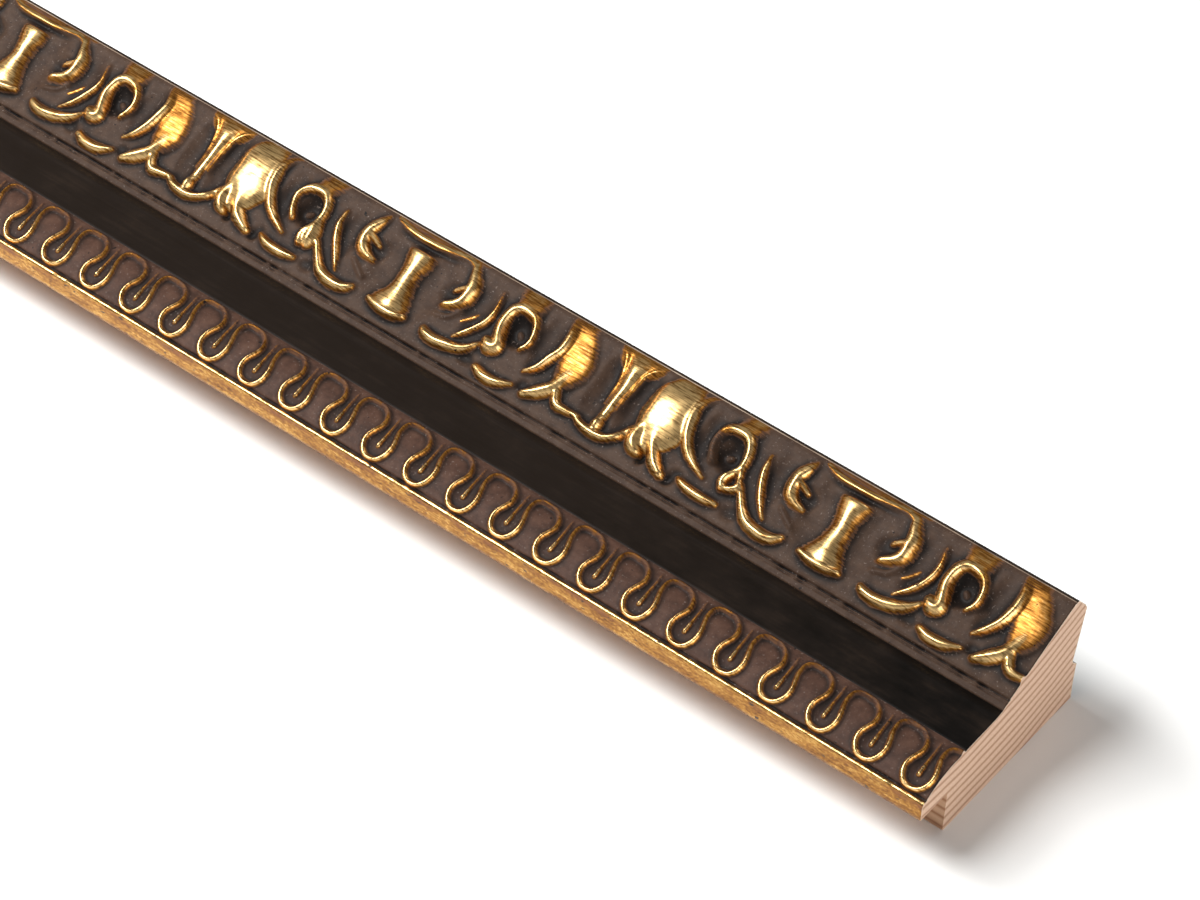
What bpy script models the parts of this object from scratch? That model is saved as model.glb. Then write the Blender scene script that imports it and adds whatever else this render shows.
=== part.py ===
# Picture frame moulding: one pine stick whose face carries a lip, a serpentine
# line with darts, a plain black panel and a rising band of acanthus scrolls.
# X runs along the stick, Y from the sight edge to the outer edge, Z up from the back.
import math

import bpy
import bmesh

# Driving dimensions, in metres
PITCH = 0.0088              # one loop of the serpentine line
LENGTH = 27 * PITCH         # the stretch of moulding, cut square at both ends
WIDTH = 0.0422              # sight edge to outer edge
HEIGHT = 0.0244             # back to ridge
RABBET_WIDTH = 0.0070       # the step that takes the glass and the picture
RABBET_DEPTH = 0.0089

# Face of the stick, from the lip to the outer edge
LIP_FACE = 0.0031           # upright face of the lip above the rabbet
LIP_CORNER = 0.0010         # worn corner above it
SWELL_RADIUS = 0.0128       # round swelling under the serpentine line
SWELL_END = 0.0084          # where the swelling meets the level panel
PANEL_Z = 0.0150
PANEL_END = 0.0200
PANEL_RISE = 0.0004
FILLET_WIDTH = 0.0013       # small step between panel and scrolls
FILLET_RISE = 0.0009
BAND_START = 0.0229         # foot of the scroll band
BAND_FOOT_Z = 0.01715
BAND_END = 0.0372           # top of its straight slope
BAND_TOP_Z = 0.0239
RIDGE_FRONT = 0.0381        # the ridge, and the bevel behind it
RIDGE_BACK = 0.0393
BEVEL_FOOT_Z = 0.0208
SIDE_HOLLOW = 0.0008        # the outer side leans in, down to a small step
SIDE_STEP_TOP = 0.0084
SIDE_STEP_FOOT = 0.0070
SIDE_STEP = 0.0004
SWELL_STEPS = 4

# Places of the ornament, in pitches from the near cut end
FIRST_DART = 0.355
FIRST_SPOOL = 4.245
SCROLL_REPEAT = 9.973       # spool to spool
SINK = 0.012                # how far a stroke's middle lies under the face
STROKE_STEP = 0.17          # longest piece of a stroke's line
BROAD = 0.2                 # strokes with a half width over this get rounder tubes
TIP_WIDTH = 0.2             # a tip's width as a share of its stroke's
TIP_ROUNDNESS = 0.6         # lower is blunter
OVERHANG = 2 * PITCH        # waste at each end before the square cuts
FADE_START = 4.70           # from here up the ornament sinks back
FADE_END = 5.06             # and here it has died into the ridge

# Serpentine line, in pitches: across from the dart, and up the face
LOOP_BOTTOM = 0.54
BELLY = (0.275, 0.86)
NECK = (0.195, 1.27)
ARCH_TOP = 1.55
BOTTOM_PULL = 0.17          # lengths of the curve's handles
BELLY_PULL = 0.14
NECK_PULL = 0.17
LINE_HALF_WIDTH = 0.058
LINE_RISE = 0.060

RIDGE_FALL = 0.0001         # the ridge's front edge lies this far below its top
MERGE = 0.00002             # corners closer than this are one
FLAT_ANGLE = math.radians(0.5)

PAINT = ("aged_taupe_and_gold", (0.118, 0.079, 0.052, 1.0), 0.42)


def clear_scene():
    for obj in list(bpy.data.objects):
        bpy.data.objects.remove(obj, do_unlink=True)


def arc_points(center, radius, start, end, steps):
    # points on a round stretch of a profile, angles in degrees
    points = []
    for i in range(steps + 1):
        angle = math.radians(start + (end - start) * i / steps)
        points.append((center[0] + radius * math.cos(angle), center[1] + radius * math.sin(angle)))
    return points


def face_points():
    # the carved face in section, from the lip's foot to the outer edge
    lip_top = RABBET_DEPTH + LIP_FACE
    swell_center = (SWELL_END, PANEL_Z - SWELL_RADIUS)
    swell_start = 180 - math.degrees(math.acos((SWELL_END - LIP_CORNER) / SWELL_RADIUS))
    points = [(0.0, RABBET_DEPTH), (0.0, lip_top)]
    points += arc_points(swell_center, SWELL_RADIUS, swell_start, 90, SWELL_STEPS)
    points.append((PANEL_END, PANEL_Z + PANEL_RISE))
    points.append((PANEL_END + FILLET_WIDTH, PANEL_Z + PANEL_RISE + FILLET_RISE))
    points.append((BAND_START, BAND_FOOT_Z))
    points.append((BAND_END, BAND_TOP_Z))
    points.append((RIDGE_FRONT, HEIGHT - RIDGE_FALL))
    points.append((RIDGE_BACK, HEIGHT))
    points.append((WIDTH, BEVEL_FOOT_Z))
    return points


def back_points():
    # the plain wood: outer side, back and rabbet
    side = WIDTH - SIDE_HOLLOW
    step = side + SIDE_STEP
    return [(side, SIDE_STEP_TOP), (step, SIDE_STEP_FOOT), (step, 0.0),
            (RABBET_WIDTH, 0.0), (RABBET_WIDTH, RABBET_DEPTH)]


def face_table(points):
    # each corner of the face with the length run up to it and its mean normal
    lengths = [0.0]
    normals = []
    for a, b in zip(points, points[1:]):
        lengths.append(lengths[-1] + math.dist(a, b))
        normals.append(math.atan2(b[0] - a[0], a[1] - b[1]))
    means = [normals[0]]
    means += [(a + b) / 2 for a, b in zip(normals, normals[1:])]
    means.append(normals[-1])
    return list(zip(lengths, points, means))


def on_face(table, run, height):
    # the place at a length up the face and a height above it
    for (run_a, a, turn_a), (run_b, b, turn_b) in zip(table, table[1:]):
        if run <= run_b:
            break
    t = (run - run_a) / (run_b - run_a)
    turn = turn_a + (turn_b - turn_a) * t
    y = a[0] + (b[0] - a[0]) * t + math.cos(turn) * height
    z = a[1] + (b[1] - a[1]) * t + math.sin(turn) * height
    return y, z


def make_stick(name, section, start, end):
    # the section drawn at one end and drawn out along X
    bm = bmesh.new()
    corners = [bm.verts.new((start, y, z)) for y, z in section]
    face = bm.faces.new(corners)
    drawn = bmesh.ops.extrude_face_region(bm, geom=[face])
    moved = [item for item in drawn["geom"] if isinstance(item, bmesh.types.BMVert)]
    bmesh.ops.translate(bm, verts=moved, vec=(end - start, 0, 0))
    bmesh.ops.recalc_face_normals(bm, faces=bm.faces)
    return finish_object(name, bm)


def finish_object(name, bm):
    mesh = bpy.data.meshes.new(name)
    bm.to_mesh(mesh)
    bm.free()
    obj = bpy.data.objects.new(name, mesh)
    bpy.context.collection.objects.link(obj)
    return obj


def taper(t):
    # a stroke swells from its tips to its middle
    return max(math.sin(math.pi * t) ** TIP_ROUNDNESS if 0 < t < 1 else 0, TIP_WIDTH)


def arc_stroke(center, radii, start, end, half_width, rise):
    # a tapered stroke along part of an ellipse, angles in degrees
    span = math.radians(abs(end - start)) * (radii[0] + radii[1]) / 2
    steps = max(3, round(span / STROKE_STEP))
    points = []
    for i in range(steps + 1):
        t = i / steps
        angle = math.radians(start + (end - start) * t)
        across = center[0] + radii[0] * math.cos(angle)
        up = center[1] + radii[1] * math.sin(angle)
        points.append((across, up, half_width * taper(t)))
    return points, rise


def straight_stroke(start, end, half_widths, rise):
    # a straight stroke with its half width given at even steps
    points = []
    for i, half_width in enumerate(half_widths):
        t = i / (len(half_widths) - 1)
        across = start[0] + (end[0] - start[0]) * t
        up = start[1] + (end[1] - start[1]) * t
        points.append((across, up, half_width))
    return points, rise


def scroll_half():
    # acanthus to the right of a spool, in pitches from the spool's middle
    return [
        arc_stroke((0.72, 4.42), (0.50, 0.52), 58, -64, 0.105, 0.135),   # C-scroll
        straight_stroke((1.20, 4.50), (0.92, 4.30), (0.06, 0.08, 0.04), 0.105),   # its tongue
        arc_stroke((0.72, 4.40), (1.15, 1.15), 18, -46, 0.090, 0.115),   # sickle
        arc_stroke((2.50, 4.25), (0.38, 0.43), -50, 225, 0.115, 0.150),   # volute
        straight_stroke((2.24, 4.02), (2.14, 3.62), (0.11, 0.17, 0.09), 0.145),   # its stem
        straight_stroke((2.46, 4.66), (2.36, 5.06), (0.14, 0.22, 0.32), 0.085),   # its root
        arc_stroke((1.30, 4.12), (0.87, 0.87), -38, -116, 0.110, 0.130),   # tail
        arc_stroke((2.60, 4.07), (0.90, 0.90), -112, -58, 0.095, 0.120),   # short leaf tip
        arc_stroke((2.42, 4.52), (1.10, 1.10), 24, -54, 0.105, 0.130),   # rib
        straight_stroke((3.78, 5.04), (3.92, 3.62), (0.32, 0.32, 0.38, 0.36, 0.16), 0.125),   # leaf
        straight_stroke((3.96, 3.78), (3.36, 3.22), (0.10, 0.13, 0.08), 0.135),   # leaf toe
        arc_stroke((4.18, 3.62), (0.26, 0.24), 200, 330, 0.090, 0.120),   # side toe
    ]


def spool():
    # waisted spool, its rim, and the bar above it
    return [
        straight_stroke((0, 4.58), (0, 3.16), (0.28, 0.21, 0.18, 0.25, 0.43, 0.30), 0.170),
        arc_stroke((0, 3.92), (0.70, 0.70), -130, -50, 0.095, 0.150),
        straight_stroke((-1.02, 4.92), (1.02, 4.92), (0.06, 0.08, 0.07, 0.08, 0.06), 0.095),
    ]


def funnel():
    # trumpet between two leaves, the ball at its foot and the crescent below
    return [
        straight_stroke((0, 5.08), (0, 3.50), (0.50, 0.26, 0.16, 0.12, 0.095, 0.075), 0.140),
        straight_stroke((0, 3.58), (0, 3.36), (0.07, 0.115, 0.07), 0.140),
        arc_stroke((0, 3.90), (0.68, 0.68), -142, -38, 0.110, 0.135),
    ]


def dart():
    return [straight_stroke((0, 1.52), (0, 0.80), (0.020, 0.028, 0.045, 0.030), 0.050)]


def bezier(a, b, c, d, t):
    u = 1 - t
    return tuple(u**3 * p + 3 * u * u * t * q + 3 * u * t * t * r + t**3 * s
                 for p, q, r, s in zip(a, b, c, d))


def serpentine_half():
    # from a loop's bottom up its side and over to the top of the arch
    bottom = (0.0, LOOP_BOTTOM)
    arch = (0.5, ARCH_TOP)
    spans = [
        (bottom, (BOTTOM_PULL, LOOP_BOTTOM), (BELLY[0], BELLY[1] - BELLY_PULL), BELLY, 3),
        (BELLY, (BELLY[0], BELLY[1] + BELLY_PULL), (NECK[0], NECK[1] - BELLY_PULL), NECK, 2),
        (NECK, (NECK[0], NECK[1] + NECK_PULL), (0.5 - NECK_PULL, ARCH_TOP), arch, 3),
    ]
    points = []
    for a, b, c, d, steps in spans:
        points += [bezier(a, b, c, d, i / steps) for i in range(steps)]
    return points + [arch]


def serpentine(loops):
    # one unbroken line over all the loops, from the near end on
    half = serpentine_half()
    one_loop = [(across, up) for across, up in reversed(half)]
    one_loop += [(-across, up) for across, up in half[1:-1]]
    points = []
    for loop in range(loops):
        points += [(across - loop, up, LINE_HALF_WIDTH) for across, up in one_loop]
    return points, LINE_RISE


def mirrored(stroke):
    points, rise = stroke
    return [(-across, up, half_width) for across, up, half_width in points], rise


def stroke_object(stroke, middle, collection):
    # a tube along the stroke, drawn flat: X along the stick, Y up the face, Z above it
    points, rise = stroke
    widest = max(p[2] for p in points)
    curve = bpy.data.curves.new("stroke", "CURVE")
    curve.dimensions = "3D"
    curve.twist_mode = "Z_UP"
    curve.bevel_depth = widest * PITCH
    curve.bevel_resolution = 1 if widest > BROAD else 0
    curve.use_fill_caps = True
    line = curve.splines.new("POLY")
    line.points.add(len(points) - 1)
    for point, (across, up, half_width) in zip(line.points, points):
        point.co = ((middle + across) * PITCH, up * PITCH, 0, 1)
        point.radius = half_width / widest
    tube = bpy.data.objects.new("stroke", curve)
    bpy.context.collection.objects.link(tube)
    bpy.context.view_layer.update()
    graph = bpy.context.evaluated_depsgraph_get()
    mesh = bpy.data.meshes.new_from_object(tube.evaluated_get(graph))
    bpy.data.objects.remove(tube, do_unlink=True)
    flatten = rise / widest
    for vert in mesh.vertices:
        fade = (FADE_END - vert.co.y / PITCH) / (FADE_END - FADE_START)
        vert.co.z = vert.co.z * flatten * min(max(fade, 0), 1) - SINK * PITCH
    obj = bpy.data.objects.new("stroke", mesh)
    collection.objects.link(obj)
    return obj


def ornament_objects(table, collection):
    # every stroke of the face, wrapped over the section and longer than the stick
    loops = round(LENGTH / PITCH) + 2
    repeats = math.ceil(LENGTH / PITCH / SCROLL_REPEAT) + 1
    objects = [stroke_object(serpentine(loops), -FIRST_DART + 1, collection)]
    for loop in range(loops - 1):
        objects += [stroke_object(stroke, -FIRST_DART - loop, collection) for stroke in dart()]
    for repeat in range(repeats):
        middle = -FIRST_SPOOL - repeat * SCROLL_REPEAT
        objects += [stroke_object(stroke, middle, collection) for stroke in spool()]
        objects += [stroke_object(stroke, middle + SCROLL_REPEAT / 2, collection) for stroke in funnel()]
        for stroke in scroll_half():
            objects.append(stroke_object(stroke, middle, collection))
            objects.append(stroke_object(mirrored(stroke), middle, collection))
    for obj in objects:
        for vert in obj.data.vertices:
            vert.co.y, vert.co.z = on_face(table, vert.co.y, vert.co.z)
            vert.co.x += LENGTH / 2
    return objects


def join_strokes(stick, strokes):
    # stick and ornament made one body
    union = stick.modifiers.new("ornament", "BOOLEAN")
    union.operation = "UNION"
    union.solver = "EXACT"
    union.operand_type = "COLLECTION"
    union.collection = strokes
    bpy.context.view_layer.update()
    graph = bpy.context.evaluated_depsgraph_get()
    mesh = bpy.data.meshes.new_from_object(stick.evaluated_get(graph))
    stick.modifiers.clear()
    stick.data = mesh


def cut_square(obj):
    # both ends sawn square to the length
    bm = bmesh.new()
    bm.from_mesh(obj.data)
    for side in (-1, 1):
        geometry = bm.verts[:] + bm.edges[:] + bm.faces[:]
        cut = bmesh.ops.bisect_plane(bm, geom=geometry, plane_co=(side * LENGTH / 2, 0, 0),
                                     plane_no=(side, 0, 0), clear_outer=True)
        edges = [item for item in cut["geom_cut"] if isinstance(item, bmesh.types.BMEdge)]
        bmesh.ops.contextual_create(bm, geom=edges)
    bmesh.ops.recalc_face_normals(bm, faces=bm.faces)
    bm.to_mesh(obj.data)
    bm.free()


def tidy_mesh(obj):
    # one body of triangles, with no edges left over from the union
    bm = bmesh.new()
    bm.from_mesh(obj.data)
    bmesh.ops.remove_doubles(bm, verts=bm.verts, dist=MERGE)
    bmesh.ops.dissolve_limit(bm, angle_limit=FLAT_ANGLE, verts=bm.verts, edges=bm.edges)
    bmesh.ops.triangulate(bm, faces=bm.faces, quad_method="BEAUTY", ngon_method="BEAUTY")
    bm.to_mesh(obj.data)
    bm.free()


def paint(obj):
    name, color, roughness = PAINT
    material = bpy.data.materials.new(name)
    material.use_nodes = True
    shader = material.node_tree.nodes["Principled BSDF"]
    shader.inputs["Base Color"].default_value = color
    shader.inputs["Roughness"].default_value = roughness
    obj.data.materials.clear()
    obj.data.materials.append(material)


def build_moulding():
    face = [(y - WIDTH / 2, z) for y, z in face_points()]
    back = [(y - WIDTH / 2, z) for y, z in back_points()]
    end = LENGTH / 2 + OVERHANG
    stick = make_stick("picture_frame_moulding", face + back, -end, end)
    strokes = bpy.data.collections.new("strokes")
    bpy.context.scene.collection.children.link(strokes)
    ornament = ornament_objects(face_table(face), strokes)
    join_strokes(stick, strokes)
    for obj in ornament:
        bpy.data.objects.remove(obj, do_unlink=True)
    bpy.data.collections.remove(strokes)
    cut_square(stick)
    tidy_mesh(stick)
    paint(stick)


clear_scene()
build_moulding()
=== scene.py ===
# Ornamented picture frame moulding: pine stick, carved face rubbed to gold, black panel
import math

import bmesh
import bpy
import numpy as np
from mathutils import Matrix, Vector


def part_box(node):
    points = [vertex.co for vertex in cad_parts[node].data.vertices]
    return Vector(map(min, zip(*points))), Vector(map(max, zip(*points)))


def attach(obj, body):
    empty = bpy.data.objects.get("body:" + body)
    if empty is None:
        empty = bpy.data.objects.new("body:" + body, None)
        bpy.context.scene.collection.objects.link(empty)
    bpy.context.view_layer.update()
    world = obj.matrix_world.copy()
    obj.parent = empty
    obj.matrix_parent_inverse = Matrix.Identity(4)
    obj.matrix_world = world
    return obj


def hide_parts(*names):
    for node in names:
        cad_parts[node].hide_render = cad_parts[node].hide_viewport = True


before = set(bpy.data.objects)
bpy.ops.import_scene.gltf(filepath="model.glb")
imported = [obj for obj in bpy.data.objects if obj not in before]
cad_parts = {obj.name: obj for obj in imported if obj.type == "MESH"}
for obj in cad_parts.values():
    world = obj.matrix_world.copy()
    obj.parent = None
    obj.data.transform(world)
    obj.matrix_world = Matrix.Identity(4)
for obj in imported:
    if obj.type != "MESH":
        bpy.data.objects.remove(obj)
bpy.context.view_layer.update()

mm = 0.001
pitch = 8.8  # mm, one loop of the serpentine line; the ornament is placed in pitches
nodeName = "picture_frame_moulding"
low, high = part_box(nodeName)
length = high.x - low.x
width = high.y - low.y
pitches = length / mm / pitch  # the stick's length in pitches


# the moulding in section, mm from the sight edge and up from the back
section = {
    "rabbetWidth": 7.0,
    "rabbetDepth": 8.9,
    "lipFace": 3.1,
    "lipCorner": 1.0,
    "swellRadius": 12.8,  # round swelling under the serpentine line
    "swellEnd": 8.4,
    "panelHeight": 15.0,
    "panelEnd": (20.0, 15.4),
    "filletEnd": (21.3, 16.3),
    "bandFoot": (22.9, 17.15),
    "bandTop": (37.2, 23.9),
    "ridgeFront": (38.1, 24.3),
    "ridgeBack": (39.3, 24.4),
    "bevelFoot": (42.2, 20.8),
    "sideStep": ((40.4, 9.4), (42.0, 7.8), (41.6, 5.6), (41.8, 0.0)),
    "rounding": 0.7,  # how far the finish softens a corner, mm
    "sample": 0.05,  # spacing of the line's own points, mm
}


def sectionCorners():
    # the finished face from the lip's foot over the ridge and down the outer side
    s = section
    lipTop = s["rabbetDepth"] + s["lipFace"]
    centre = (s["swellEnd"], s["panelHeight"] - s["swellRadius"])
    start = math.pi - math.acos((s["swellEnd"] - s["lipCorner"]) / s["swellRadius"])
    corners = [(0.0, s["rabbetDepth"]), (0.0, lipTop)]
    for angle in np.linspace(start, math.pi / 2, 12):
        corners.append((centre[0] + s["swellRadius"] * math.cos(angle),
                        centre[1] + s["swellRadius"] * math.sin(angle)))
    corners += [s["panelEnd"], s["filletEnd"], s["bandFoot"], s["bandTop"]]
    corners += [s["ridgeFront"], s["ridgeBack"], s["bevelFoot"], *s["sideStep"]]
    return np.array(corners)


def softened(values, reach):
    # a moving average that keeps both ends where they are
    kernel = np.ones(2 * reach + 1) / (2 * reach + 1)
    before = 2 * values[0] - values[reach:0:-1]
    after = 2 * values[-1] - values[-2:-reach - 2:-1]
    return np.convolve(np.concatenate([before, values, after]), kernel, "valid")


def sectionLine():
    # run along the face, place and outward direction, finely sampled
    corners = sectionCorners()
    steps = np.hypot(*np.diff(corners, axis=0).T)
    runs = np.concatenate([[0], np.cumsum(steps)])
    run = np.arange(0, runs[-1], section["sample"])
    reach = round(section["rounding"] / section["sample"] / 2)
    y = softened(np.interp(run, runs, corners[:, 0]), reach)
    z = softened(np.interp(run, runs, corners[:, 1]), reach)
    turn = np.unwrap(np.arctan2(np.gradient(y), -np.gradient(z)))
    return run, y, z, softened(turn, reach)


faceLine = sectionLine()
faceRun = faceLine[0][-1] / pitch  # in pitches, like the places of the ornament


def onFace(run, height):
    # the place of a point at a run up the face and a height above it, in metres
    runs, y, z, turn = faceLine
    angle = np.interp(run, runs, turn)
    across = np.interp(run, runs, y) + np.cos(angle) * height
    up = np.interp(run, runs, z) + np.sin(angle) * height
    return (across * mm - width / 2), up * mm


print("section drawn")


# strokes of the ornament, all in pitches: across the stick's length and up the face
def stroke(points, rise, flank=1.0, plump=2.0, flatEnds=0.0, feather=0.07):
    # smooth line through points (across, up, halfWidth, rub, lift); rub is how far it is rubbed to
    # gold, lift its part of the full rise, flank widens the side on its left, plump flattens its
    # top, flatEnds cuts its ends square, feather is the way from its edge to its full gold
    return {"line": sweep(points), "rise": rise, "flank": flank, "plump": plump,
            "flatEnds": flatEnds, "feather": feather}


def sweep(points, steps=6):
    # smooth line that passes through every point, with steps to a span
    p = np.array([[*point, 1.0, 1.0][:5] for point in points])
    p = np.vstack([2 * p[0] - p[1], p, 2 * p[-1] - p[-2]])
    t = np.linspace(0, 1, steps, endpoint=False)[:, None]
    spans = [0.5 * (2 * b + (c - a) * t + (2 * a - 5 * b + 4 * c - d) * t ** 2
                    + (3 * b - a - 3 * c + d) * t ** 3)
             for a, b, c, d in zip(p, p[1:], p[2:], p[3:])]
    line = np.vstack(spans + [p[-2]])
    line[:, 2] = np.maximum(line[:, 2], 0.015)  # never too thin for the mesh to hold
    return line


def mirrored(item):
    line = item["line"] * (-1, 1, 1, 1, 1)
    return {**item, "line": line[::-1]}  # reversed, so that its wide flank stays on the same side


# scroll band, in pitches
scroll = {
    "firstSpool": 4.30,  # from the near end
    "repeat": 9.973,  # spool to spool
    "rise": 0.165,
    "rootRub": 0.78,  # the roots at the ridge are only half rubbed
    "ridgeTop": 5.10,  # the ornament ends in the ridge here
    "bandSlope": math.radians(25.3),
    "sway": 0.022,  # how far the hand strays from the pattern
    "swaySeed": 11,
    "trumpetShift": -0.07,
    "blend": 3,  # passes that round the ornament into its ground
    "clearance": 0.004,  # kept free below the height of the ridge
    "ridgeRelief": 0.002,  # the little that stands up on the ridge itself
    "groundEnds": ((3.06, 0.20), (5.0, 0.30)),  # foot and top of the ground, how soft each is
    # unevenness of the ground: height, cells up the face and along the stick, seed
    "unevenness": [(0.003, (24, 260), 3), (0.005, (9, 90), 4)],
    # lines under the band: middle, half width, height
    "quirks": [(2.905, 0.026, -0.032), (2.968, 0.034, -0.062)],
    "footBead": (3.015, 0.03, 0.012),
    "wear": (0.6, (1, 190), 32),  # how unevenly the quirks are filled: share, cells, seed
}


def nearHalf():
    # acanthus between a spool and the trumpet on its near side
    rise, root = scroll["rise"], scroll["rootRub"]
    return [
        # C-scroll with its tongue
        stroke([(1.00, 4.94, 0.06), (1.10, 4.74, 0.09), (1.19, 4.53, 0.12), (1.20, 4.30, 0.12),
                (1.10, 4.13, 0.11), (0.92, 4.00, 0.075)], rise, flank=1.9),
        stroke([(1.18, 4.46, 0.07), (1.05, 4.41, 0.075), (0.92, 4.33, 0.06)], 0.85 * rise),
        # sickle and the small scratch-like leaf edge beside it
        stroke([(1.83, 4.74, 0.04, 0.4), (1.89, 4.42, 0.07, 0.8), (1.88, 4.17, 0.085),
                (1.76, 3.89, 0.09), (1.62, 3.69, 0.075), (1.46, 3.53, 0.03)], 0.85 * rise),
        stroke([(1.61, 4.15, 0.035, 0.8), (1.52, 4.00, 0.045, 0.8), (1.42, 3.87, 0.035, 0.8)],
               0.35 * rise),
        # volute with its foot, and the root that ties it to the ridge
        stroke([(2.09, 3.78, 0.11), (2.20, 3.70, 0.17), (2.33, 3.77, 0.16), (2.25, 3.99, 0.14),
                (2.18, 4.20, 0.135), (2.17, 4.40, 0.13), (2.23, 4.58, 0.125), (2.37, 4.67, 0.12),
                (2.55, 4.65, 0.13, 0.85), (2.71, 4.56, 0.11, 0.8), (2.80, 4.38, 0.09),
                (2.82, 4.17, 0.09), (2.73, 3.97, 0.07)], 1.15 * rise, flank=1.15),
        stroke([(2.45, 5.14, 0.38, root, 0.2), (2.46, 4.94, 0.35, root, 0.4),
                (2.48, 4.70, 0.30, root)], 0.9 * rise, plump=5, flatEnds=0.05, feather=0.2),
        # long tail that sweeps under the C-scroll, and the short tip below the volute
        stroke([(1.99, 3.64, 0.06), (1.87, 3.49, 0.10), (1.70, 3.38, 0.13), (1.45, 3.31, 0.145),
                (1.20, 3.28, 0.14), (0.98, 3.32, 0.12), (0.89, 3.38, 0.08)], rise),
        stroke([(2.21, 3.27, 0.09), (2.45, 3.19, 0.13), (2.76, 3.19, 0.13), (3.04, 3.31, 0.07)],
               0.9 * rise),
        # low edges that the rubbing missed, and the bead in the eye of the volute
        stroke([(1.30, 4.02, 0.05, 0), (1.15, 3.82, 0.06, 0), (0.88, 3.73, 0.05, 0)], 0.35 * rise),
        stroke([(2.50, 4.25, 0.06, 0.1), (2.56, 4.20, 0.07, 0.1)], 0.5 * rise),
        # rib and the brushed leaf that it borders
        stroke([(3.34, 5.02, 0.07, 0.5), (3.45, 4.70, 0.11, 0.8), (3.47, 4.43, 0.13),
                (3.44, 4.25, 0.13), (3.36, 4.02, 0.12), (3.23, 3.80, 0.10), (3.07, 3.65, 0.045)],
               1.1 * rise),
        stroke([(3.57, 5.14, 0.34, 0.55, 0.15), (3.62, 4.90, 0.30, 0.57, 0.2),
                (3.78, 4.60, 0.32, 0.72, 0.35), (3.86, 4.32, 0.38, 0.72, 0.5),
                (3.88, 4.05, 0.33, 0.63, 0.6), (3.86, 3.78, 0.18, 0.60, 0.9)],
               rise, plump=5, flatEnds=0.06, feather=0.14),
        # toes of the leaf
        stroke([(3.88, 4.02, 0.14, 0.85, 0.6), (3.78, 3.66, 0.17), (3.58, 3.45, 0.17),
                (3.35, 3.27, 0.12)], 1.1 * rise),
        stroke([(3.86, 3.76, 0.10, 0.85, 0.6), (3.93, 3.52, 0.12), (4.05, 3.39, 0.12),
                (4.27, 3.40, 0.10), (4.52, 3.43, 0.07)], rise),
    ]


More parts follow.
